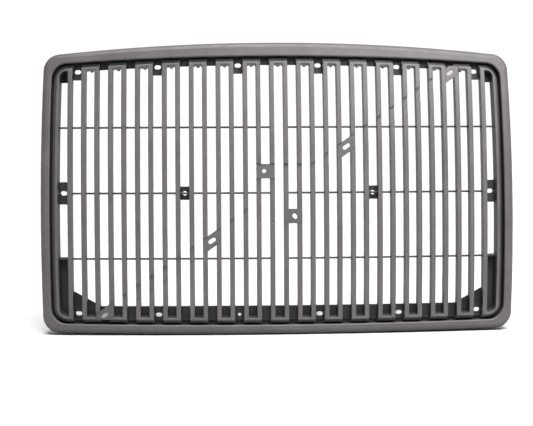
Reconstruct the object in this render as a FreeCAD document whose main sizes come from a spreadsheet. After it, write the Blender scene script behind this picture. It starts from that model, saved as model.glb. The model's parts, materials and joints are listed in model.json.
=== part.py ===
import FreeCAD, Part
import math
import os
import Sketcher
from FreeCAD import Placement, Rotation, Vector

# Heavy-truck front grille: a domed surround bezel, seventeen tall closed hoops,
# three rows of cross rods, a rear frame that carries them and an empty slanted
# emblem seat. X runs across the vehicle, Y to the rear, Z up. The origin is on
# the foremost face of the crown, half way up the grille.
#
# Every front face lies on one crowned surface, part of a torus that bulges
# toward -Y. Depths such as hoop_depth are measured square to that surface.

doc = FreeCAD.newDocument("truck_grille")
dims = doc.addObject("Spreadsheet::Sheet", "Dims")

DIMENSIONS = (
    ("crown_across", 5000.0, "radius of the crown seen from above"),
    ("crown_upright", 2400.0, "radius of the crown seen from the side"),
    ("crown_level", -200.0, "height of the foremost point of the crown"),
    ("front_y", -59.0, "Y of the foremost point of the crown"),
    ("bezel_top", 340.3, "outer outline, top at the middle"),
    ("bezel_top_arch", 5200.0, "arch radius of the outer top edge"),
    ("bezel_bottom", -339.4, "outer outline, bottom at the middle"),
    ("bezel_side", 554.3, "outer outline, half width"),
    ("bezel_corner", 40.0, "outer corner radius"),
    ("bezel_depth", 40.0, "skirt depth behind the face"),
    ("bezel_wall", 3.0, "moulded wall thickness"),
    ("bezel_roll", 14.0, "roll of the outer front edge"),
    ("bezel_lip_roll", 3.0, "roll of the inner front edge"),
    ("window_top", 307.8, "bezel opening, top at the middle"),
    ("window_bottom", -315.8, "bezel opening, bottom at the middle"),
    ("window_side", 532.0, "bezel opening, half width"),
    ("window_side_bow", 14000.0, "bow radius of the bezel opening sides"),
    ("window_corner", 36.0, "bezel opening corner radius"),
    ("inner_arch", 8000.0, "arch radius of everything inside the bezel"),
    ("sill_arch", 35000.0, "arch radius of the bottom edges"),
    ("side_bow", 12000.0, "bow radius of the outer side edges"),
    ("side_level", -80.0, "height where the grille is widest"),
    ("pitch", 62.5, "hoop spacing"),
    ("bar_offset", 15.35, "hoop centre to bar centre"),
    ("bar_front", 5.2, "half width of a bar at its face"),
    ("bar_back", 5.85, "half width of a bar at its back"),
    ("centre_extra", 0.5, "extra half spacing of the centre hoop"),
    ("hoop_depth", 19.0, "hoop depth"),
    ("face_top", 295.6, "hoop faces, top at the middle"),
    ("face_bottom", -304.5, "hoop faces, bottom at the middle"),
    ("face_side", 519.7, "outer edge of the corner hoop faces"),
    ("face_side_bow", 13500.0, "bow radius of the corner hoops"),
    ("face_corner", 27.0, "corner radius of the corner hoops"),
    ("foot_inset", 14.0, "depth at which the hoop foot starts"),
    ("foot_top", 303.6, "hoop feet, top at the middle"),
    ("foot_bottom", -312.8, "hoop feet, bottom at the middle"),
    ("foot_side", 527.4, "outer edge of the corner hoop feet"),
    ("foot_corner", 33.0, "corner radius of the hoop feet"),
    ("draft", 11.0, "draft of the end walls inside the hoops, degrees"),
    ("slot_top", 300.2, "inner top of the hoops, at front_y"),
    ("slot_top_arch", 11100.0, "arch radius of the inner top, at front_y"),
    ("slot_bottom", -299.7, "inner bottom of the hoops, at front_y"),
    ("slot_side", 520.1, "inner side of the corner hoops, at front_y"),
    ("slot_lean", 0.7, "outward lean of that side, degrees"),
    ("slot_corner", 15.0, "inner corner radius of the corner hoops"),
    ("slot_fillet", 2.5, "inner corner radius of the other hoops"),
    ("rod_radius", 2.3, "cross rod radius"),
    ("rod_bore", 3.3, "clearance bore radius in the bars"),
    ("rod_socket", 2.35, "socket radius at the rod ends"),
    ("rod_inset", 11.0, "rod axis depth"),
    ("rod_upper", 142.3, "height of the upper rods"),
    ("rod_middle", -9.6, "height of the middle rods"),
    ("rod_lower", -161.0, "height of the lower rods"),
    ("rod_inner_end", 14.5, "inner rod ends, from the centre"),
    ("rod_outer_end", 516.0, "outer rod ends, from the centre"),
    ("rod_short_end", 486.0, "outer ends of the middle rods"),
    ("seat_angle", 34.6, "slope of the emblem seat, degrees"),
    ("seat_level", -11.2, "height of the emblem seat at the centre"),
    ("seat_width", 28.8, "width of the slanted seat"),
    ("seat_end", 427.0, "half length of the slanted seat, across"),
    ("seat_sink", 4.0, "depth of the seat in the bar faces"),
    ("badge_width", 106.4, "emblem pocket width"),
    ("badge_height", 138.4, "emblem pocket height"),
    ("plate", 3.0, "rear frame plate thickness"),
    ("lap", 2.5, "thickness of the corner lap plates"),
    ("strap", 2.0, "thickness of the seat plates"),
    ("frame_edge", 8.5, "rear frame edge inside the bezel outline"),
    ("rail_top", 288.0, "lower edge of the top rail at the middle"),
    ("rail_side", 511.5, "inner edge of the side rails"),
    ("sill_top", -273.0, "upper edge of the bottom panel"),
    ("split_upper", 232.0, "height of the upper frame joints"),
    ("split_lower", -262.0, "height of the lower frame joints"),
    ("tab_width", 27.0, "width of a top tab"),
    ("tab_drop", 19.5, "tab slot centre to tab lower edge"),
    ("slot_length", 15.0, "mounting slot length"),
    ("slot_width", 10.0, "mounting slot width"),
    ("locator", 4.0, "locating hole radius in the sill"),
    ("pad_width", 25.0, "flat mounting pad width"),
    ("pad_height", 18.0, "flat mounting pad height"),
    ("pad_back", 7.0, "pad face behind the plate front"),
    ("pad_gap", 0.6, "clearance round a pad that passes a lap plate"),
    ("tab_outer", 468.75, "outer pair of tabs and sill slots"),
    ("tab_mid", 281.25, "middle pair"),
    ("tab_inner", 93.75, "inner pair"),
    ("tab_outer_level", 273.2, "height of the outer tab slots"),
    ("tab_mid_level", 283.5, "height of the middle tab slots"),
    ("tab_inner_level", 287.0, "height of the inner tab slots"),
    ("sill_outer_level", -290.5, "height of the outer sill slots"),
    ("sill_mid_level", -293.2, "height of the middle sill slots"),
    ("sill_inner_level", -293.5, "height of the inner sill slots"),
    ("ear_slot", 500.5, "side ear slots, from the centre"),
    ("ear_level", -9.6, "height of the side ear slots"),
    ("ear_height", 52.0, "height of a side ear"),
    ("ear_inner", 480.0, "inner edge of a side ear"),
    ("tie_x", 218.75, "tie plates, from the centre"),
    ("tie_level", -10.0, "height of the tie plates"),
    ("tie_width", 40.0, "tie plate width"),
    ("tie_height", 31.0, "tie plate height"),
    ("tie_hole", 5.0, "tie plate hole radius"),
    ("strap_inner", 156.25, "inner seat plates, from the centre"),
    ("strap_outer", 406.25, "outer seat plates, from the centre"),
    ("strap_half", 20.8, "half width of a seat plate"),
    ("seat_slot_length", 19.0, "seat plate slot length"),
    ("seat_slot_width", 9.0, "seat plate slot width"),
    ("badge_inner", 10.8, "inner edge of the badge plates"),
    ("badge_plate_height", 33.5, "badge plate height"),
    ("badge_hole", 4.6, "badge plate hole radius"),
    ("badge_hole_x", 35.0, "badge plate hole, from the centre"),
    ("badge_hole_z", 52.0, "badge plate hole, above or below the centre"),
    ("bead_half", 9.4, "half length of a sill bead"),
    ("bead_level", -305.8, "height of the sill beads"),
    ("bead_height", 2.4, "height and depth of the sill beads"),
    ("gusset_rise", 291.5, "top of the upper gussets, at the middle"),
    ("gusset_inner", 482.0, "inner edge of the upper gussets"),
    ("gusset_low", 248.0, "lower edge of the gusset web"),
    ("gusset_foot", 203.0, "lower end of the gusset leg"),
    ("corner_top", -158.3, "top of the lower corner plates"),
    ("corner_inner", 484.0, "inner edge of the lower corner plates"),
    ("corner_shoulder", -236.2, "height where the slanted edge starts"),
    ("corner_toe", 410.0, "inner end of the slanted edge"),
    ("corner_heel", -276.6, "height where the slanted edge ends"),
    ("corner_low", -296.0, "lower edge of the lower corner plates"),
    ("ledge_height", 7.5, "height of the ledge on the corner plates"),
    ("boss_radius", 5.0, "screw boss radius"),
    ("screw_radius", 2.0, "screw shank radius"),
    ("pilot_radius", 2.05, "pilot hole radius"),
    ("hole_radius", 2.4, "screw hole radius in the plates"),
    ("head_radius", 4.2, "screw head radius"),
    ("head_height", 2.6, "screw head height"),
    ("screw_reach", 10.0, "screw length ahead of the plate"),
    ("rivet_radius", 1.6, "rivet radius"),
    ("rivet_head", 3.2, "rivet head radius"),
)
for row, (alias, value, note) in enumerate(DIMENSIONS, start=1):
    dims.set("A%d" % row, note)
    dims.set("B%d" % row, repr(value))
    dims.setAlias("B%d" % row, alias)
doc.recompute()


def dim(alias):
    return float(dims.get(alias))


def bind(obj, sizes):
    for prop, expression in sizes.items():
        obj.setExpression(prop, expression)
    return obj


def crown(x, z, inset=0.0):
    """Y of the crowned surface, or of one `inset` behind it, at x and z."""
    radius = dim("crown_upright") - inset
    side = dim("crown_upright") - math.sqrt(radius**2 - (z - dim("crown_level")) ** 2)
    turn = dim("crown_across") - side
    return dim("front_y") + dim("crown_across") - math.sqrt(turn**2 - x**2)


def rearward(x, z):
    """Rotation that turns +Z into the rearward normal of the crown."""
    lean = (z - dim("crown_level")) / dim("crown_upright")
    return Rotation(Vector(0, 0, 1), Vector(-x / dim("crown_across"), 1.0, -lean))


# ---------------------------------------------------------------- primitives

ALONG_Y = Rotation(Vector(1, 0, 0), -90)
START = dim("front_y") - 30


def torus_solid(name, inset):
    """Everything behind the crowned surface set back by `inset`."""
    solid = doc.addObject("Part::Torus", name)
    solid.Angle1 = -16
    solid.Angle2 = 16
    solid.Angle3 = 20
    solid.Placement = Placement(Vector(0, dim("crown_across"), dim("crown_level")),
                                Rotation(Vector(0, 0, 1), -100))
    return bind(solid, {
        "Radius1": "Dims.crown_across - Dims.crown_upright",
        "Radius2": "Dims.crown_upright - (%s)" % inset,
        "Placement.Base.y": "Dims.crown_across + Dims.front_y",
        "Placement.Base.z": "Dims.crown_level",
    })


def disc(name, radius, x, z):
    """A wide cylinder along Y, used for one arched edge of an outline."""
    solid = doc.addObject("Part::Cylinder", name)
    solid.Height = 230
    solid.Placement = Placement(Vector(0, START, 0), ALONG_Y)
    return bind(solid, {"Radius": radius, "Placement.Base.x": x, "Placement.Base.z": z})


def pin(name, radius, x, z, start=START, length=230.0):
    """A round bar along Y."""
    solid = doc.addObject("Part::Cylinder", name)
    solid.Height = length
    solid.Placement = Placement(Vector(0, start, 0), ALONG_Y)
    return bind(solid, {"Radius": radius, "Placement.Base.x": x, "Placement.Base.z": z})


def block(name, left, low, width, tall, front=START, deep=230.0):
    """A box whose X and Z sizes come from the sheet."""
    solid = doc.addObject("Part::Box", name)
    solid.Width = deep
    solid.Placement.Base.y = front
    return bind(solid, {"Length": width, "Height": tall,
                        "Placement.Base.x": left, "Placement.Base.z": low})


def half_space(name, point, rotation):
    """A large box with its local +X face through `point`."""
    solid = doc.addObject("Part::Box", name)
    solid.Length = 1300
    solid.Width = 1400
    solid.Height = 1300
    corner = Placement(Vector(-1300, -700, -650), Rotation())
    solid.Placement = Placement(point, rotation).multiply(corner)
    return solid


def fuse(name, shapes):
    joined = doc.addObject("Part::MultiFuse", name)
    joined.Shapes = shapes
    return joined


def common(name, shapes):
    shared = doc.addObject("Part::MultiCommon", name)
    shared.Shapes = shapes
    return shared


def cut(name, base, tool):
    result = doc.addObject("Part::Cut", name)
    result.Base = base
    result.Tool = tool
    return result


def fillet(name, base, radius, chosen):
    """Fillet the edges of `base` for which `chosen(edge)` is true."""
    doc.recompute()
    result = doc.addObject("Part::Fillet", name)
    result.Base = base
    result.Edges = [(number, radius, radius)
                    for number, edge in enumerate(base.Shape.Edges, start=1)
                    if chosen(edge)]
    return result


def runs_rearward(edge):
    start = edge.valueAt(edge.FirstParameter)
    end = edge.valueAt(edge.LastParameter)
    along = (end - start).normalize()
    return abs(along.y) > 0.9


def at_corner(edge):
    middle = edge.valueAt(0.5 * (edge.FirstParameter + edge.LastParameter))
    return runs_rearward(edge) and abs(middle.x) > 400 and abs(middle.z) > 200


def outline(name, top, arch, bottom, side, bow, corner):
    """A prism along Y with an arched top, arched sill and bowed sides."""
    edges = common(name + "_edges", [
        disc(name + "_over", arch, "0", "(%s) - (%s)" % (top, arch)),
        disc(name + "_sill", "Dims.sill_arch", "0", "(%s) + Dims.sill_arch" % bottom),
        disc(name + "_right", bow, "(%s) - (%s)" % (side, bow), "Dims.side_level"),
        disc(name + "_left", bow, "(%s) - (%s)" % (bow, side), "Dims.side_level"),
    ])
    return fillet(name, edges, corner, at_corner)


def sheet_of(name, prism, front, back):
    """The part of a prism between two crowned surfaces."""
    return cut(name, common(name + "_stock", [prism, front]), back)


CROWN_FACE = torus_solid("crown_face", "0")
CROWN_BACK = torus_solid("crown_hoop_back", "Dims.hoop_depth")
CROWN_PLATE = torus_solid("crown_plate_back", "Dims.hoop_depth + Dims.plate")
CROWN_LAP = torus_solid("crown_lap_back", "Dims.hoop_depth + Dims.plate + Dims.lap")
CROWN_FOOT = torus_solid("crown_foot", "Dims.foot_inset")
CROWN_SEAT = torus_solid("crown_seat", "Dims.seat_sink")
CROWN_STRAP = torus_solid("crown_strap", "Dims.seat_sink - Dims.strap")
CROWN_DISH = torus_solid("crown_dish", "Dims.seat_sink - Dims.strap / 2")
CROWN_TIE = torus_solid("crown_tie", "Dims.hoop_depth + Dims.strap")


def rod_ring(name, level, radius, start, end):
    """A rod bent to the crown, from x = start to x = end (start < end)."""
    inset = dim("crown_upright") - dim("rod_inset")
    side = dim("crown_upright") - math.sqrt(inset**2 - (dim(level) - dim("crown_level")) ** 2)
    turn = dim("crown_across") - side
    first = math.degrees(math.asin(start / turn))
    last = math.degrees(math.asin(end / turn))
    ring = doc.addObject("Part::Torus", name)
    ring.Angle3 = last - first
    ring.Placement = Placement(Vector(0, dim("crown_across"), dim(level)),
                               Rotation(Vector(0, 0, 1), first - 90))
    return bind(ring, {
        "Radius1": "Dims.crown_across - Dims.crown_upright"
                   " + sqrt((Dims.crown_upright - Dims.rod_inset)^2"
                   " - (Dims.%s - Dims.crown_level)^2)" % level,
        "Radius2": radius,
        "Placement.Base.y": "Dims.crown_across + Dims.front_y",
        "Placement.Base.z": "Dims.%s" % level,
    })


# --------------------------------------------------------------- emblem seat

seat_band = doc.addObject("Part::Box", "seat_band")
seat_band.Length = 1300
seat_band.Width = 230
seat_band.Placement = Placement(Vector(0, 0, dim("seat_level")),
                                Rotation(Vector(0, 1, 0), -dim("seat_angle"))).multiply(
    Placement(Vector(-650, START, -0.5 * dim("seat_width")), Rotation()))
bind(seat_band, {"Height": "Dims.seat_width"})
seat_reach = block("seat_reach", "-Dims.seat_end", "-400", "2 * Dims.seat_end", "800")
seat_strip = common("seat_strip", [seat_band, seat_reach])
badge_box = block("badge_box", "-Dims.badge_width / 2", "Dims.seat_level - Dims.badge_height / 2",
                  "Dims.badge_width", "Dims.badge_height")
seat_recess = cut("seat_recess", fuse("seat_shape", [seat_strip, badge_box]), CROWN_SEAT)

# --------------------------------------------------------------------- hoops

face_prism = outline("face_outline", "Dims.face_top", "Dims.inner_arch", "Dims.face_bottom",
                     "Dims.face_side", "Dims.face_side_bow", dim("face_corner"))
foot_prism = outline("foot_outline", "Dims.foot_top", "Dims.inner_arch", "Dims.foot_bottom",
                     "Dims.foot_side", "Dims.face_side_bow", dim("foot_corner"))
hoop_blank = fuse("hoop_blank", [sheet_of("hoop_faces", face_prism, CROWN_FACE, CROWN_BACK),
                                 sheet_of("hoop_feet", foot_prism, CROWN_FOOT, CROWN_BACK)])

tilt = dim("draft")
slot_over = doc.addObject("Part::Cone", "slot_over")
slot_over.Height = 200
slot_over.Placement = Placement(Vector(0, dim("front_y"), 0), ALONG_Y)
bind(slot_over, {
    "Radius1": "Dims.slot_top_arch",
    "Radius2": "Dims.slot_top_arch - 200 * tan(Dims.draft * 1deg)",
    "Placement.Base.z": "Dims.slot_top - Dims.slot_top_arch",
})
slot_sill = half_space("slot_sill", Vector(0, dim("front_y"), dim("slot_bottom")),
                       Rotation(Vector(1, 0, 0), tilt) * Rotation(Vector(0, 1, 0), 90))
slot_right = half_space("slot_right", Vector(dim("slot_side"), dim("front_y"), 0),
                        Rotation(Vector(0, 1, 0), dim("slot_lean")) * Rotation(Vector(0, 0, 1), tilt))
slot_left = half_space("slot_left", Vector(-dim("slot_side"), dim("front_y"), 0),
                       Rotation(Vector(0, 1, 0), -dim("slot_lean"))
                       * Rotation(Vector(0, 0, 1), 180 - tilt))
slot_walls = common("slot_walls", [slot_over, slot_sill, slot_right, slot_left])
slot_space = fillet("slot_space", slot_walls, dim("slot_corner"), at_corner)


def value_of(expression):
    """Evaluate an expression in the sheet."""
    return float(dims.evalExpression(expression))


def sketch_loop(name, corners, level="0", upright=False):
    """A closed polygon sketch whose corner coordinates are sheet expressions.

    It lies in the XY plane at height `level`, or upright in the XZ plane.
    """
    sketch = doc.addObject("Sketcher::SketchObject", name)
    if upright:
        sketch.Placement = Placement(Vector(0, START, 0), Rotation(Vector(1, 0, 0), 90))
    bind(sketch, {"Placement.Base.z": level})
    points = [Vector(value_of(across), value_of(away), 0) for across, away in corners]
    count = len(points)
    for number, point in enumerate(points):
        sketch.addGeometry(Part.LineSegment(point, points[(number + 1) % count]), False)
    for number in range(count):
        sketch.addConstraint(Sketcher.Constraint("Coincident", number, 2, (number + 1) % count, 1))
    for number, point in enumerate(points):
        for kind, value, text in (("DistanceX", point.x, corners[number][0]),
                                  ("DistanceY", point.y, corners[number][1])):
            index = sketch.addConstraint(Sketcher.Constraint(kind, -1, 1, number, 1, value))
            sketch.setExpression("Constraints[%d]" % index, text)
    return sketch


def hoop_band(name, centre, left, right):
    """A band across one hoop, revolved about the cross axis of the crown.

    `left` and `right` give the band sides, from the hoop centre line, as a
    pair of expressions: at the face and at the back of the hoop.
    """
    shift = "Dims.front_y + (%s)^2 / (2 * Dims.crown_across)" % centre
    corners = []
    for (face, back), reach in ((left, -1), (right, -1), (right, 3), (left, 3)):
        across = "%s + (%s) + %d * ((%s) - (%s))" % (centre, face, reach, back, face)
        corners.append((across, "%s + %d * Dims.hoop_depth" % (shift, reach)))
    band = doc.addObject("Part::Revolution", name)
    band.Source = sketch_loop(name + "_section", corners, "Dims.crown_level")
    band.Axis = Vector(1, 0, 0)
    band.Base = Vector(0, value_of(shift) + dim("crown_upright"), dim("crown_level"))
    band.Angle = 32
    band.Symmetric = True
    band.Solid = True
    return band


def square_pin(name, radius, x, z, start, length):
    """A round bar square to the crown, from depth `start` towards the rear."""
    turn = rearward(x, z)
    foot = Vector(x, crown(x, z), z) + turn.multVec(Vector(0, 0, start))
    solid = doc.addObject("Part::Cylinder", name)
    solid.Placement = Placement(foot, turn)
    return bind(solid, {"Radius": radius, "Height": str(length)})


def compound(name, shapes):
    group = doc.addObject("Part::Compound", name)
    group.Links = shapes
    return group


BACK = dim("hoop_depth")
PLATE_BACK = BACK + dim("plate")
HOOPS = range(1, 18)
SIDES = (("left", -1), ("right", 1))


def under_arch(level, x):
    """Height at x of a top edge that is `level` high at the middle."""
    return level - x**2 / (2 * dim("inner_arch"))


def over_sill(level, x):
    """Height at x of a bottom edge that is `level` high at the middle."""
    return level + x**2 / (2 * dim("sill_arch"))


def hoop_centre(number):
    return (number - 9) * dim("pitch")


def inner_corner(number):
    """A test for the plain corners of the space inside one hoop."""
    x = hoop_centre(number)

    def chosen(edge):
        middle = edge.valueAt(0.5 * (edge.FirstParameter + edge.LastParameter))
        away = middle.x - x
        rounded = (number == 1 and away < 0) or (number == 17 and away > 0)
        return runs_rearward(edge) and abs(away) < 14 and not rounded

    return chosen


# Screw positions (x, z), given on the crown. The corner hoops are rounded, so
# their screws sit a little nearer the middle.
HOOP_SCREWS = []
for number in HOOPS:
    x = hoop_centre(number) + {1: 4.0, 17: -4.0}.get(number, 0.0)
    HOOP_SCREWS.append((x, under_arch(dim("face_top") - 3.2, x)))
    HOOP_SCREWS.append((x, over_sill(dim("face_bottom") + 3.5, x)))
BEZEL_SCREWS = []
for x in (-470, -330, -160, 0, 160, 330, 470):
    BEZEL_SCREWS.append((x, under_arch(dim("window_top") + 11.5, x)))
    BEZEL_SCREWS.append((x, over_sill(dim("window_bottom") - 10.0, x)))
for side in (-1, 1):
    for z in (170, 60, -90, -200):
        bow = (z - dim("side_level")) ** 2 / (2 * dim("window_side_bow"))
        BEZEL_SCREWS.append((side * (dim("window_side") + 9.3 - bow), z))
TIE_SCREWS = [(side * dim("tie_x") + dx, dim("tie_level") + dz)
              for side in (-1, 1) for dx in (-15.9, 15.9) for dz in (-10.5, 10.5)]
RIVETS = [(side * 536.0, z) for side in (-1, 1)
          for z in (210, 222, 242, 256, -240, -251, -273, -286)]
RIVETS += [(side * x, -285.0) for side in (-1, 1) for x in (423.5, 451.5)]


def pins_at(name, places, radius, start, length):
    return compound(name, [square_pin("%s_%d" % (name, number), radius, x, z, start, length)
                           for number, (x, z) in enumerate(places, start=1)])


def screws(name, places, seat, reach):
    """Pan-head screws whose heads rest at depth `seat`, pointing forward."""
    made = []
    for number, (x, z) in enumerate(places, start=1):
        shank = square_pin("%s_shank_%d" % (name, number), "Dims.screw_radius", x, z,
                           seat - reach, reach + 0.5)
        head = square_pin("%s_head_%d" % (name, number), "Dims.head_radius", x, z,
                          seat, dim("head_height"))
        made.append(fuse("%s_%d" % (name, number), [shank, head]))
    return compound(name, made)


# ------------------------------------------------------------ hoops and rods

REACH = dim("screw_reach")
bores = []
sockets = []
rods = {}
for level, tag in (("rod_upper", "upper"), ("rod_middle", "middle"), ("rod_lower", "lower")):
    near = dim("rod_inner_end")
    far = dim("rod_short_end") if tag == "middle" else dim("rod_outer_end")
    for side, sign in SIDES:
        rod = "rod_%s_%s" % (tag, side)
        ends = sorted((sign * near, sign * far))
        rods[rod] = rod_ring(rod, level, "Dims.rod_radius", *ends)
        ends = sorted((sign * (near + 8.5), sign * (far - 8.5)))
        bores.append(rod_ring("bore_%s_%s" % (tag, side), level, "Dims.rod_bore", *ends))
        ends = sorted((sign * (near - 0.1), sign * (far + 0.1)))
        sockets.append(rod_ring("socket_%s_%s" % (tag, side), level, "Dims.rod_socket", *ends))

slope = math.tan(math.radians(dim("seat_angle")))
peg_places = []
for side in (-1, 1):
    for centre, rise in ((dim("strap_inner"), 0.0), (dim("strap_outer"), -6.0)):
        for dx in (-15.9, 15.9):
            x = side * centre + dx
            peg_places.append((x, dim("seat_level") + x * slope + side * rise))
badge_pegs = []
for side in (-1, 1):
    for x in (15.85, 47.15):
        badge_pegs.append((side * x, dim("seat_level") - side * 52.2))
hoop_cuts = compound("hoop_cuts", bores + [
    seat_recess,
    pins_at("hoop_pilots", HOOP_SCREWS, "Dims.pilot_radius", PLATE_BACK - REACH - 0.5, 12.0),
    pins_at("tie_pilots", TIE_SCREWS, "Dims.pilot_radius", 11.5, 12.0),
])
socket_cuts = compound("socket_cuts", sockets)
peg_cuts = pins_at("peg_holes", peg_places + badge_pegs, "Dims.pilot_radius", 2.0, 7.5)

face_half = "Dims.bar_offset + Dims.bar_front"
back_half = "Dims.bar_offset + Dims.bar_back"
face_gap = "Dims.bar_offset - Dims.bar_front"
back_gap = "Dims.bar_offset - Dims.bar_back"
hoops = {}
for number in HOOPS:
    tag = "hoop_%02d" % number
    centre = "%d * Dims.pitch" % (number - 9)
    extra = " + Dims.centre_extra" if number == 9 else ""
    outer_left = ("-(%s%s)" % (face_half, extra), "-(%s%s)" % (back_half, extra))
    outer_right = (face_half + extra, back_half + extra)
    inner_left = ("-(%s%s)" % (face_gap, extra), "-(%s%s)" % (back_gap, extra))
    inner_right = (face_gap + extra, back_gap + extra)
    if number == 1:
        outer_left = inner_left = ("-50", "-50")
    if number == 17:
        outer_right = inner_right = ("50", "50")
    band = hoop_band(tag + "_band", centre, outer_left, outer_right)
    gap = hoop_band(tag + "_gap", centre, inner_left, inner_right)
    body = common(tag + "_body", [hoop_blank, band])
    space = fillet(tag + "_space", common(tag + "_space_walls", [slot_space, gap]),
                   dim("slot_fillet"), inner_corner(number))
    open_hoop = cut(tag + "_open", body, space)
    bored = cut(tag + "_bored", open_hoop, hoop_cuts)
    socketed = cut(tag + "_socketed", bored, socket_cuts)
    hoops[tag] = cut(tag, socketed, peg_cuts)

# ---------------------------------------------------------------- rear frame

frame_prism = outline("frame_outline", "Dims.bezel_top - Dims.frame_edge", "Dims.bezel_top_arch",
                      "Dims.bezel_bottom + Dims.frame_edge", "Dims.bezel_side - Dims.frame_edge",
                      "Dims.side_bow", dim("bezel_corner") - dim("frame_edge"))
frame_plate = sheet_of("frame_plate", frame_prism, CROWN_BACK, CROWN_PLATE)
frame_window = fillet("frame_window", common("frame_window_walls", [
    disc("frame_window_top", "Dims.inner_arch", "0", "Dims.rail_top - Dims.inner_arch"),
    block("frame_window_box", "-Dims.rail_side", "Dims.sill_top",
          "2 * Dims.rail_side", "Dims.rail_top - Dims.sill_top + 10"),
]), dim("slot_corner"), at_corner)
frame_ring = cut("frame_ring", frame_plate, frame_window)


def slot_hole(name, x, z, length, width, turn=0.0):
    """A slot with round ends, `turn` degrees up from the X axis."""
    placed = Placement(Vector(value_of(x), START, value_of(z)), Rotation(Vector(0, 1, 0), -turn))
    half = 0.5 * (value_of(length) - value_of(width))
    middle = doc.addObject("Part::Box", name + "_middle")
    middle.Length = 2 * half
    middle.Width = 230
    middle.Placement = placed.multiply(
        Placement(Vector(-half, 0, -0.5 * value_of(width)), Rotation()))
    bind(middle, {"Height": width})
    ends = []
    for number, along in enumerate((-half, half), start=1):
        end = doc.addObject("Part::Cylinder", "%s_end_%d" % (name, number))
        end.Height = 230
        end.Placement = placed.multiply(Placement(Vector(along, 0, 0), ALONG_Y))
        ends.append(bind(end, {"Radius": "(%s) / 2" % width}))
    return fuse(name, [middle] + ends)


def pad(name, x, z):
    """A flat-backed mounting pad behind the frame plate."""
    front = crown(value_of(x), value_of(z), BACK)
    solid = block(name + "_box", "(%s) - Dims.pad_width / 2" % x, "(%s) - Dims.pad_height / 2" % z,
                  "Dims.pad_width", "Dims.pad_height", front, dim("pad_back"))
    return common(name, [solid, CROWN_BACK])


top_zone = block("top_zone", "-600", "Dims.split_upper", "1200", "200")
sill_zone = block("sill_zone", "-600", "Dims.split_lower - 200", "1200", "200")
top_parts = [common("top_ring", [frame_ring, top_zone])]
sill_parts = [common("sill_ring", [frame_ring, sill_zone])]
top_slots = []
sill_slots = []
for place in ("outer", "mid", "inner"):
    for side, sign in SIDES:
        tag = "%s_%s" % (place, side)
        x = "%d * Dims.tab_%s" % (sign, place)
        z = "Dims.tab_%s_level" % place
        leaf = block("tab_leaf_" + tag, "%s - Dims.tab_width / 2" % x, "%s - Dims.tab_drop" % z,
                     "Dims.tab_width", "Dims.tab_drop + 16")
        top_parts.append(sheet_of("tab_" + tag, leaf, CROWN_BACK, CROWN_PLATE))
        top_parts.append(pad("tab_pad_" + tag, x, z))
        top_slots.append(slot_hole("tab_slot_" + tag, x, z, "Dims.slot_length", "Dims.slot_width"))
        z = "Dims.sill_%s_level" % place
        sill_parts.append(pad("sill_pad_" + tag, x, z))
        if tag == "inner_left":
            sill_slots.append(pin("sill_locator", "Dims.locator", x, z))
        else:
            sill_slots.append(slot_hole("sill_slot_" + tag, x, z,
                                        "Dims.slot_length", "Dims.slot_width"))

bead_strips = []
for number in range(1, 17):
    middle = "%s * Dims.pitch" % (number - 8.5)
    bead_strips.append(block("bead_%02d" % number, "%s - Dims.bead_half" % middle,
                             "Dims.bead_level", "2 * Dims.bead_half", "Dims.bead_height"))
CROWN_BEAD = torus_solid("crown_bead", "Dims.hoop_depth - Dims.bead_height")
sill_parts.append(sheet_of("sill_bead", compound("bead_set", bead_strips), CROWN_BEAD, CROWN_PLATE))

top_screws = [place for place in HOOP_SCREWS + BEZEL_SCREWS if place[1] > dim("split_upper")]
low_screws = [place for place in HOOP_SCREWS + BEZEL_SCREWS if place[1] < dim("split_lower")]
side_screws = [place for place in BEZEL_SCREWS if abs(place[1]) < 225]
rivet_holes = pins_at("rivet_holes", RIVETS, "Dims.rivet_radius + 0.05", BACK - 2.0, 12.0)
top_holes = pins_at("top_screw_holes", top_screws, "Dims.hole_radius", BACK - 3.0, 14.0)
low_holes = pins_at("low_screw_holes", low_screws, "Dims.hole_radius", BACK - 3.0, 14.0)
side_holes = pins_at("side_screw_holes", side_screws, "Dims.hole_radius", BACK - 3.0, 14.0)

frame_parts = {
    "top_rail": cut("top_rail", fuse("top_rail_solid", top_parts), compound("top_rail_holes", [
        fuse("tab_slots", top_slots), top_holes, rivet_holes])),
    "bottom_panel": cut("bottom_panel", fuse("bottom_panel_solid", sill_parts), compound("sill_holes", [
        fuse("sill_slots", sill_slots), low_holes, rivet_holes])),
}
for side, sign in SIDES:
    zone = block("strip_zone_" + side, "-600" if sign < 0 else "0", "Dims.split_lower",
                 "600", "Dims.split_upper - Dims.split_lower")
    strip = common("strip_" + side, [frame_ring, zone])
    leaf = block("ear_leaf_" + side, "-Dims.rail_side - 2" if sign < 0 else "Dims.ear_inner",
                 "Dims.ear_level - Dims.ear_height / 2",
                 "Dims.rail_side - Dims.ear_inner + 2", "Dims.ear_height")
    ear = sheet_of("ear_" + side, leaf, CROWN_BACK, CROWN_PLATE)
    ear_x = "%d * Dims.ear_slot" % sign
    ear_pad = pad("ear_pad_" + side, ear_x, "Dims.ear_level")
    slot = slot_hole("ear_slot_" + side, ear_x, "Dims.ear_level", "Dims.slot_length", "Dims.slot_width")
    tag = "side_rail_" + side
    frame_parts[tag] = cut(tag, fuse(tag + "_solid", [strip, ear, ear_pad]),
                           compound(tag + "_holes", [slot, side_holes, rivet_holes]))

# Lap plates that join the frame at its corners.
gusset_top = disc("gusset_top", "Dims.inner_arch", "0", "Dims.gusset_rise - Dims.inner_arch")
gusset_prism = common("gusset_zone", [frame_prism, gusset_top])
CROWN_LEDGE = torus_solid("crown_ledge", "Dims.hoop_depth - 4")
corner_screws = [place for place in low_screws if abs(place[0]) > 400]
corner_holes = pins_at("corner_screw_holes", corner_screws, "Dims.head_radius + 0.8", BACK - 3.0, 14.0)


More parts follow.
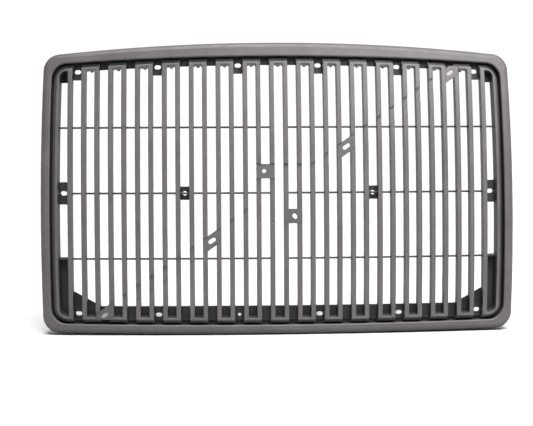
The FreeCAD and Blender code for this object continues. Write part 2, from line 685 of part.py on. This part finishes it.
def side_block(name, sign, inner, outer, low, tall):
    """A block between two distances from the middle, on one side."""
    left = "-(%s)" % outer if sign < 0 else inner
    return block(name, left, low, "(%s) - (%s)" % (outer, inner), tall)


for side, sign in SIDES:
    web = side_block("gusset_web_" + side, sign, "Dims.gusset_inner", "600", "Dims.gusset_low", "100")
    leg = side_block("gusset_leg_" + side, sign, "Dims.rail_side + 1", "600", "Dims.gusset_foot", "100")
    plate = common("gusset_plate_" + side, [fuse("gusset_shape_" + side, [web, leg]), gusset_prism])
    tag = "upper_gusset_" + side
    frame_parts[tag] = cut(tag, sheet_of(tag + "_sheet", plate, CROWN_PLATE, CROWN_LAP), rivet_holes)

    corners = [("%d * (%s)" % (sign, x), z) for x, z in (
        ("600", "Dims.corner_top"), ("Dims.corner_inner", "Dims.corner_top"),
        ("Dims.corner_inner", "Dims.corner_shoulder"), ("Dims.corner_toe", "Dims.corner_heel"),
        ("Dims.corner_toe", "Dims.corner_low"), ("600", "Dims.corner_low"))]
    blank = doc.addObject("Part::Extrusion", "corner_blank_" + side)
    blank.Base = sketch_loop("corner_sketch_" + side, corners, "0", True)
    blank.DirMode = "Custom"
    blank.Dir = Vector(0, 1, 0)
    blank.LengthFwd = 230
    blank.Solid = True
    tag = "lower_corner_" + side
    corner_stock = common(tag + "_stock", [blank, frame_prism])
    web = sheet_of(tag + "_sheet", corner_stock, CROWN_PLATE, CROWN_LAP)
    bar = side_block(tag + "_ledge_bar", sign, "Dims.corner_inner + 8", "Dims.rail_side - 2",
                     "Dims.corner_top - Dims.ledge_height", "Dims.ledge_height")
    ledge = sheet_of(tag + "_ledge", bar, CROWN_LEDGE, CROWN_LAP)
    notch = side_block(tag + "_notch", sign, "Dims.tab_outer - Dims.pad_width / 2 - Dims.pad_gap",
                       "Dims.tab_outer + Dims.pad_width / 2 + Dims.pad_gap", "Dims.corner_low - 10",
                       "Dims.sill_outer_level + Dims.pad_height / 2 + Dims.pad_gap"
                       " - Dims.corner_low + 10")
    frame_parts[tag] = cut(tag, fuse(tag + "_solid", [web, ledge]),
                           compound(tag + "_holes", [rivet_holes, corner_holes, notch]))

# ------------------------------------------------------ tie and seat plates

for side, sign in SIDES:
    x = "%d * Dims.tie_x" % sign
    leaf = block("tie_leaf_" + side, x + " - Dims.tie_width / 2",
                 "Dims.tie_level - Dims.tie_height / 2", "Dims.tie_width", "Dims.tie_height")
    holes = compound("tie_holes_" + side, [
        pin("tie_eye_" + side, "Dims.tie_hole", x, "Dims.tie_level"),
        pins_at("tie_screw_holes_" + side, TIE_SCREWS, "Dims.hole_radius", BACK - 3.0, 14.0)])
    tag = "tie_plate_" + side
    frame_parts[tag] = cut(tag, sheet_of(tag + "_sheet", leaf, CROWN_BACK, CROWN_TIE), holes)

for place in ("outer", "inner"):
    for side, sign in SIDES:
        tag = "seat_plate_%s_%s" % (place, side)
        centre = "%d * Dims.strap_%s" % (sign, place)
        reach = block(tag + "_reach", centre + " - Dims.strap_half", "-400",
                      "2 * Dims.strap_half", "800")
        stock = common(tag + "_blank", [seat_band, reach, face_prism])
        leaf = sheet_of(tag + "_leaf", stock, CROWN_STRAP, CROWN_SEAT)
        spots = [spot for spot in peg_places if abs(spot[0] - value_of(centre)) < 20]
        pegs = pins_at(tag + "_pegs", spots, "Dims.screw_radius", 3.0, 6.0)
        slot = slot_hole(tag + "_slot", centre,
                         "Dims.seat_level + (%s) * tan(Dims.seat_angle * 1deg)" % centre,
                         "Dims.seat_slot_length", "Dims.seat_slot_width", dim("seat_angle"))
        if place == "outer":
            slot = cut(tag + "_dish", slot, CROWN_DISH)
        frame_parts[tag] = cut(tag, fuse(tag + "_solid", [leaf, pegs]), slot)

for side, sign in SIDES:
    tag = "badge_plate_" + side
    low = ("Dims.seat_level + Dims.badge_height / 2 - 0.6 - Dims.badge_plate_height" if sign < 0
           else "Dims.seat_level - Dims.badge_height / 2 + 0.6")
    leaf = sheet_of(tag + "_leaf",
                    side_block(tag + "_box", sign, "Dims.badge_inner", "Dims.badge_width / 2 - 0.6",
                               low, "Dims.badge_plate_height"), CROWN_STRAP, CROWN_SEAT)
    spots = [spot for spot in badge_pegs if spot[0] * sign > 0]
    pegs = pins_at(tag + "_pegs", spots, "Dims.screw_radius", 3.0, 6.0)
    x = "%d * Dims.badge_hole_x" % sign
    z = "Dims.seat_level - %d * Dims.badge_hole_z" % sign
    if sign < 0:
        hole = pin(tag + "_hole", "Dims.badge_hole", x, z)
    else:
        hole = slot_hole(tag + "_hole", x, z, "2.9 * Dims.badge_hole", "2 * Dims.badge_hole",
                         dim("seat_angle") - 90)
    frame_parts[tag] = cut(tag, fuse(tag + "_solid", [leaf, pegs]), hole)

# --------------------------------------------------------------------- bezel

bezel_prism = outline("bezel_outline", "Dims.bezel_top", "Dims.bezel_top_arch", "Dims.bezel_bottom",
                      "Dims.bezel_side", "Dims.side_bow", dim("bezel_corner"))
window_prism = outline("window_outline", "Dims.window_top", "Dims.inner_arch", "Dims.window_bottom",
                       "Dims.window_side", "Dims.window_side_bow", dim("window_corner"))
core_prism = outline("core_outline", "Dims.bezel_top - Dims.bezel_wall", "Dims.bezel_top_arch",
                     "Dims.bezel_bottom + Dims.bezel_wall", "Dims.bezel_side - Dims.bezel_wall",
                     "Dims.side_bow", dim("bezel_corner") - dim("bezel_wall"))
rim_prism = outline("rim_outline", "Dims.window_top + Dims.bezel_wall", "Dims.inner_arch",
                    "Dims.window_bottom - Dims.bezel_wall", "Dims.window_side + Dims.bezel_wall",
                    "Dims.window_side_bow", dim("window_corner") + dim("bezel_wall"))


def front_rim(base, inset, outer):
    """A test for the outer or inner front edges of a ring at depth `inset`."""
    doc.recompute()
    radius = dim("crown_upright") - inset
    face = [f for f in base.Shape.Faces if isinstance(f.Surface, Part.Toroid)
            and abs(f.Surface.MinorRadius - radius) < 0.01][0]
    wires = [w for w in face.Wires if w.isSame(face.OuterWire) == outer]
    edges = [edge for wire in wires for edge in wire.Edges]
    return lambda edge: any(edge.isSame(other) for other in edges)


ring = cut("bezel_ring", sheet_of("bezel_blank", bezel_prism, CROWN_FACE,
                                  torus_solid("crown_skirt", "Dims.bezel_depth")), window_prism)
rolled = fillet("bezel_rolled", ring, dim("bezel_roll"), front_rim(ring, 0, True))
eased = fillet("bezel_eased", rolled, dim("bezel_lip_roll"), front_rim(rolled, 0, False))
core = common("bezel_core", [core_prism, torus_solid("crown_wall", "Dims.bezel_wall")])
channel = cut("bezel_channel", core, rim_prism)
hollow = fillet("bezel_hollow", channel, dim("bezel_roll") - dim("bezel_wall"),
                front_rim(channel, dim("bezel_wall"), True))
behind = common("bezel_behind", [core_prism, CROWN_BACK])
shell = cut("bezel_shell", eased, fuse("bezel_void", [hollow, behind]))
bosses = [square_pin("bezel_boss_%d" % number, "Dims.boss_radius", x, z, 1.9, BACK - 1.9)
          for number, (x, z) in enumerate(BEZEL_SCREWS, start=1)]
pilots = [square_pin("bezel_pilot_%d" % number, "Dims.pilot_radius", x, z,
                     PLATE_BACK - REACH - 0.5, 12.0)
          for number, (x, z) in enumerate(BEZEL_SCREWS, start=1)]
doc.recompute()
bezel = doc.addObject("Part::Feature", "bezel")
bezel.Shape = shell.Shape.fuse([boss.Shape for boss in bosses]).cut([hole.Shape for hole in pilots])

# ----------------------------------------------------------------- fasteners

fasteners = {
    "hoop_screws_top": screws("hoop_screws_top", [place for place in HOOP_SCREWS if place[1] > 0],
                              PLATE_BACK, REACH),
    "hoop_screws_bottom": screws("hoop_screws_bottom", [place for place in HOOP_SCREWS if place[1] < 0],
                                 PLATE_BACK, REACH),
    "bezel_screws": screws("bezel_screws", BEZEL_SCREWS, PLATE_BACK, REACH),
    "tie_screws": screws("tie_screws", TIE_SCREWS, BACK + dim("strap"), 9.0),
}
rivets = []
for number, (x, z) in enumerate(RIVETS, start=1):
    shank = square_pin("rivet_shank_%d" % number, "Dims.rivet_radius", x, z, BACK + 0.05,
                       PLATE_BACK - BACK + dim("lap") + 0.4)
    head = square_pin("rivet_head_%d" % number, "Dims.rivet_head", x, z, PLATE_BACK + dim("lap"), 1.4)
    rivets.append(fuse("rivet_%d" % number, [shank, head]))
fasteners["frame_rivets"] = compound("frame_rivets", rivets)

# -------------------------------------------------------------------- export

nodes = {"bezel": bezel}
for group in (frame_parts, hoops, rods, fasteners):
    nodes.update(group)
for name, obj in nodes.items():
    obj.Label = name
doc.recompute()

for obj in doc.Objects:
    if "Invalid" in obj.State or "Error" in obj.State:
        raise RuntimeError("%s failed to recompute: %s" % (obj.Name, obj.State))
for name, obj in nodes.items():
    if obj.Shape.isNull() or not obj.Shape.isValid():
        raise RuntimeError("%s has no valid shape" % name)

os.makedirs("parts", exist_ok=True)
for name, obj in nodes.items():
    obj.Shape.exportStep("parts/%s.step" % name)
    print(name, len(obj.Shape.Solids), round(obj.Shape.Volume))
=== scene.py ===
import json
import math

import bpy
from mathutils import Matrix, Vector


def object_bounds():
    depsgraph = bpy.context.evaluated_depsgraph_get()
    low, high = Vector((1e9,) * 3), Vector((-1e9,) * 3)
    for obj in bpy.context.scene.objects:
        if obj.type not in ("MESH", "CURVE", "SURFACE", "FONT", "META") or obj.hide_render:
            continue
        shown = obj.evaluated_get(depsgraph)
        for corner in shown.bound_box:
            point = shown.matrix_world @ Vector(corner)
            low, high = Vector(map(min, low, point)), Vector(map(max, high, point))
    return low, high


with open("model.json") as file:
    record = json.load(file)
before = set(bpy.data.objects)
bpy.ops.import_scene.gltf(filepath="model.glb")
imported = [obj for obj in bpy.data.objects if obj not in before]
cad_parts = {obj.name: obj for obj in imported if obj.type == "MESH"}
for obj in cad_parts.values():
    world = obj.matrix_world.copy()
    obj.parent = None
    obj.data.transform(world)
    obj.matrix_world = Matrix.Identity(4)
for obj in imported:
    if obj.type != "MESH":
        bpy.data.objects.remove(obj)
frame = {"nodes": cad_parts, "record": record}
cad_low, cad_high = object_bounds()
nodes = frame["nodes"]

EDGE_SAMPLES = 6
# CORNER_SAMPLES and CORNER_REACH set the painted shade in inside corners.
CORNER_SAMPLES = 8
CORNER_REACH = 0.03         # how far away a wall still darkens a corner, metres
GRAIN_SCALE = 700.0
MOTTLE_SCALE = 14.0
GLOSS_SCALE = 90.0
GRAIN_SHARE = 0.55          # the grain's share in the colour, the mottling has the rest
ANY_DEPTH = 100.0           # a patch reaches this far along Y, so its depth is no matter
DISH_X = 0.40625            # outer seat plates, from the centre, metres
DISH_LENGTH = 0.019
DISH_WIDTH = 0.009
DISH_GREY = (0.24, 0.225, 0.235, 1)
SEAT_LEVEL = -0.0112
SEAT_TILT = math.radians(34.6)
SEAT_GREY = (0.074, 0.068, 0.071)
WORLD_STRENGTH = 1.05
FLOOR_ALBEDO = 0.56
FLOOR_SIZE = 60
FLOOR_GAP = 0.0005          # the grille stands this far above the floor
CAMERA_PLACE = (-0.1291, -2.4645, 0.10283)
CAMERA_LENS = 70.85         # millimetres, on a sensor 36 mm wide
CAMERA_TURN = (0.040853, -0.065552, -0.004424)      # yaw, pitch and roll, radians

# ------------------------------------------------------------------ materials

def new_material(name):
    material = bpy.data.materials.new(name)
    material.use_nodes = True
    tree = material.node_tree
    shader = tree.nodes["Principled BSDF"]
    return material, tree, shader


def noise(tree, coords, scale, detail=4.0, roughness=0.55):
    node = tree.nodes.new("ShaderNodeTexNoise")
    node.inputs["Scale"].default_value = scale
    node.inputs["Detail"].default_value = detail
    node.inputs["Roughness"].default_value = roughness
    tree.links.new(coords, node.inputs["Vector"])
    return node.outputs["Fac"]


def ramp(tree, value, stops):
    node = tree.nodes.new("ShaderNodeValToRGB")
    elements = node.color_ramp.elements
    while len(elements) < len(stops):
        elements.new(0.5)
    for element, (place, colour) in zip(elements, stops):
        element.position = place
        element.color = (*colour, 1.0)
    tree.links.new(value, node.inputs["Fac"])
    return node.outputs["Color"]


def map_range(tree, value, source, target):
    """Carries the range `source` of a value over to the range `target`."""
    node = tree.nodes.new("ShaderNodeMapRange")
    node.inputs["From Min"].default_value, node.inputs["From Max"].default_value = source
    node.inputs["To Min"].default_value, node.inputs["To Max"].default_value = target
    tree.links.new(value, node.inputs["Value"])
    return node.outputs["Result"]


def spread(tree, value, low, high):
    """Carries the usual range of a noise over to low..high."""
    return map_range(tree, value, (0.25, 0.75), (low, high))


def scaled(colour, factor):
    return tuple(channel * factor for channel in colour)


def rounded(tree, radius):
    """Normals that read as a rounded moulding edge."""
    edge = tree.nodes.new("ShaderNodeBevel")
    edge.samples = EDGE_SAMPLES
    edge.inputs["Radius"].default_value = radius
    return edge.outputs["Normal"]


def arithmetic(tree, operation, *values):
    """A Math node whose inputs are sockets or plain numbers."""
    node = tree.nodes.new("ShaderNodeMath")
    node.operation = operation
    for socket, value in zip(node.inputs, values):
        if isinstance(value, float):
            socket.default_value = value
        else:
            tree.links.new(value, socket)
    return node.outputs["Value"]


def painted_shade_factor(tree, flank):
    """A factor of painted shade: darkens inside corners, where shade falls, and side walls
    turned away from the front down to `flank`.
    """
    # Painted shade in inside corners, from ambient occlusion.
    corner = tree.nodes.new("ShaderNodeAmbientOcclusion")
    corner.samples = CORNER_SAMPLES
    corner.inputs["Distance"].default_value = CORNER_REACH
    depth = map_range(tree, corner.outputs["AO"], (0.1, 0.7), (0.25, 1.0))
    # Painted shade on side walls: the less a face turns forward, to -Y, the darker it is.
    facing = tree.nodes.new("ShaderNodeSeparateXYZ")
    tree.links.new(tree.nodes.new("ShaderNodeNewGeometry").outputs["True Normal"],
                   facing.inputs["Vector"])
    forward = map_range(tree, facing.outputs["Y"], (-0.75, -0.35), (1.0, flank))
    return arithmetic(tree, "MULTIPLY", depth, forward)


def plastic(name, colour, rough=0.5, grain=0.00012, specular=0.4, edge=0.001, flank=1.0):
    """Moulded plastic: fine leather grain, faint mottling, rounded edges and painted shade."""
    material, tree, shader = new_material(name)
    coords = tree.nodes.new("ShaderNodeTexCoord").outputs["Object"]
    fine = noise(tree, coords, GRAIN_SCALE, 2.0, 0.6)
    broad = noise(tree, coords, MOTTLE_SCALE, 5.0)
    mixed = arithmetic(tree, "MULTIPLY_ADD", broad, 1.0 - GRAIN_SHARE,
                       arithmetic(tree, "MULTIPLY", fine, GRAIN_SHARE))
    base = ramp(tree, mixed,
                [(0.38, scaled(colour, 0.8)), (0.5, colour), (0.62, scaled(colour, 1.2))])
    # The colour is darkened by painted shade in inside corners and on side walls.
    shaded_colour = tree.nodes.new("ShaderNodeVectorMath")
    shaded_colour.operation = "SCALE"
    tree.links.new(base, shaded_colour.inputs["Vector"])
    tree.links.new(painted_shade_factor(tree, flank), shaded_colour.inputs["Scale"])
    tree.links.new(shaded_colour.outputs["Vector"], shader.inputs["Base Color"])
    gloss = noise(tree, coords, GLOSS_SCALE, 4.0)
    tree.links.new(spread(tree, gloss, rough - 0.06, rough + 0.08), shader.inputs["Roughness"])
    shader.inputs["Specular IOR Level"].default_value = specular
    bump = tree.nodes.new("ShaderNodeBump")
    bump.inputs["Strength"].default_value = 0.5
    bump.inputs["Distance"].default_value = grain
    tree.links.new(rounded(tree, edge), bump.inputs["Normal"])
    tree.links.new(fine, bump.inputs["Height"])
    tree.links.new(bump.outputs["Normal"], shader.inputs["Normal"])
    return material


def patch(tree, centre, tilt, length, width):
    """1 inside a slanted oval on the front face, 0 outside it."""
    place = tree.nodes.new("ShaderNodeMapping")
    place.vector_type = "TEXTURE"
    place.inputs["Location"].default_value = centre
    place.inputs["Rotation"].default_value = (0, -tilt, 0)
    place.inputs["Scale"].default_value = (length / 2, ANY_DEPTH, width / 2)
    tree.links.new(tree.nodes.new("ShaderNodeTexCoord").outputs["Object"],
                   place.inputs["Vector"])
    radius = tree.nodes.new("ShaderNodeVectorMath")
    radius.operation = "LENGTH"
    tree.links.new(place.outputs["Vector"], radius.inputs["Vector"])
    return map_range(tree, radius.outputs["Value"], (0.85, 1.1), (1.0, 0.0))


def metal(name, colour, rough=0.35, streaks=(1.0, 1.0, 1.0), metallic=1.0):
    """Plated or painted metal with fine streaks."""
    material, tree, shader = new_material(name)
    coords = tree.nodes.new("ShaderNodeTexCoord").outputs["Object"]
    stretch = tree.nodes.new("ShaderNodeMapping")
    stretch.inputs["Scale"].default_value = streaks
    tree.links.new(coords, stretch.inputs["Vector"])
    lines = noise(tree, stretch.outputs["Vector"], 400.0, 3.0)
    tree.links.new(ramp(tree, lines, [(0.3, scaled(colour, 0.85)), (0.7, scaled(colour, 1.1))]),
                   shader.inputs["Base Color"])
    tree.links.new(spread(tree, lines, rough - 0.07, rough + 0.1), shader.inputs["Roughness"])
    shader.inputs["Metallic"].default_value = metallic
    bump = tree.nodes.new("ShaderNodeBump")
    bump.inputs["Strength"].default_value = 0.2
    bump.inputs["Distance"].default_value = 0.00008
    tree.links.new(lines, bump.inputs["Height"])
    tree.links.new(bump.outputs["Normal"], shader.inputs["Normal"])
    return material


# Every plastic gets painted shade in its inside corners; hoop_plastic also has its side walls
# painted half as bright as painted shade.
FINISHES = {
    "bezel_plastic": plastic("bezel_plastic", (0.074, 0.067, 0.070), 0.50, 0.00015),
    "hoop_plastic": plastic("hoop_plastic", (0.078, 0.071, 0.074), 0.46, 0.00012,
                            edge=0.0034, flank=0.5),
    "frame_plastic": plastic("frame_plastic", (0.026, 0.024, 0.026), 0.62, 0.00010, 0.3),
    "seat_plastic": plastic("seat_plastic", SEAT_GREY, 0.50, 0.00012),
    "rod_paint": metal("rod_paint", (0.022, 0.020, 0.022), 0.45, (0.05, 1.0, 1.0), 0.2),
    "screw_steel": metal("screw_steel", (0.50, 0.49, 0.46), 0.35, (1.0, 1.0, 1.0)),
    "rivet_aluminium": metal("rivet_aluminium", (0.62, 0.62, 0.63), 0.40, (1.0, 1.0, 1.0)),
}
for entry in frame["record"]["subparts"]:
    node = nodes[entry["node"]]
    node.data.materials.clear()
    node.data.materials.append(FINISHES[entry["material_slot"]])

# The blind dishes of the two outer seat plates are a paler grey. A Mix node names each
# of its sockets several times over, so the colour ones are taken by number.
MIX_FACTOR, MIX_FIRST, MIX_SECOND, MIX_RESULT = 0, 6, 7, 2
for side, sign in (("left", -1), ("right", 1)):
    x = sign * DISH_X
    material = plastic("seat_dish_" + side, SEAT_GREY, 0.50, 0.00012)
    tree = material.node_tree
    base_colour = tree.nodes["Principled BSDF"].inputs["Base Color"]
    pale = tree.nodes.new("ShaderNodeMix")
    pale.data_type = "RGBA"
    centre = (x, 0, SEAT_LEVEL + x * math.tan(SEAT_TILT))
    tree.links.new(patch(tree, centre, SEAT_TILT, DISH_LENGTH, DISH_WIDTH),
                   pale.inputs[MIX_FACTOR])
    tree.links.new(base_colour.links[0].from_socket, pale.inputs[MIX_FIRST])
    pale.inputs[MIX_SECOND].default_value = DISH_GREY
    tree.links.new(pale.outputs[MIX_RESULT], base_colour)
    nodes["seat_plate_outer_" + side].data.materials[0] = material

# -------------------------------------------------------------- surroundings

bpy.ops.mesh.primitive_plane_add(size=FLOOR_SIZE, location=(0, 0, cad_low.z - FLOOR_GAP))
floor = bpy.context.object
floor.name = "floor"
paint, tree, shader = new_material("floor_paint")
shader.inputs["Base Color"].default_value = (FLOOR_ALBEDO,) * 3 + (1,)
shader.inputs["Roughness"].default_value = 0.9
floor.data.materials.append(paint)

# The room is white behind the grille and darker in front of it.
world = bpy.data.worlds.new("studio")
bpy.context.scene.world = world
world.use_nodes = True
tree = world.node_tree
direction = tree.nodes.new("ShaderNodeTexCoord").outputs["Generated"]
split = tree.nodes.new("ShaderNodeSeparateXYZ")
tree.links.new(direction, split.inputs["Vector"])
walls = map_range(tree, split.outputs["Y"], (0.2, 0.7), (0.22, 1.0))
background = tree.nodes["Background"]
background.inputs["Strength"].default_value = WORLD_STRENGTH
tree.links.new(walls, background.inputs["Color"])


def lamp(name, kind, energy, place, turn):
    """Adds a lamp, turned by `turn` degrees, and returns its light."""
    light = bpy.data.lights.new(name, kind)
    light.energy = energy
    holder = bpy.data.objects.new(name, light)
    bpy.context.scene.collection.objects.link(holder)
    holder.location = place
    holder.rotation_euler = [math.radians(angle) for angle in turn]
    return light


overhead = lamp("overhead", "SUN", 5.2, (0, 0, 3), (23, 0, 3))
overhead.angle = math.radians(24)
softbox = lamp("softbox", "AREA", 30.0, (0.75, -0.85, 1.0), (49, 0, 41))
softbox.shape = "RECTANGLE"
softbox.size = 1.6
softbox.size_y = 0.5

# -------------------------------------------------------------------- camera

camera_data = bpy.data.cameras.new("camera")
camera = bpy.data.objects.new("camera", camera_data)
bpy.context.scene.collection.objects.link(camera)
bpy.context.scene.camera = camera
camera_data.sensor_fit = "HORIZONTAL"
camera_data.sensor_width = 36.0
camera_data.lens = CAMERA_LENS
camera_data.clip_start = 0.05
camera_data.clip_end = 100.0
camera_data.dof.use_dof = False
yaw, pitch, roll = CAMERA_TURN
forward = Vector((math.sin(yaw) * math.cos(pitch),
                  math.cos(yaw) * math.cos(pitch),
                  math.sin(pitch)))
right = Vector((math.cos(yaw), -math.sin(yaw), 0.0))
up = right.cross(forward)
right, up = (right * math.cos(roll) + up * math.sin(roll),
             up * math.cos(roll) - right * math.sin(roll))
camera.matrix_world = Matrix.Translation(CAMERA_PLACE) @ Matrix(
    (right, up, -forward)).transposed().to_4x4()

bpy.context.scene.view_settings.view_transform = "Standard"
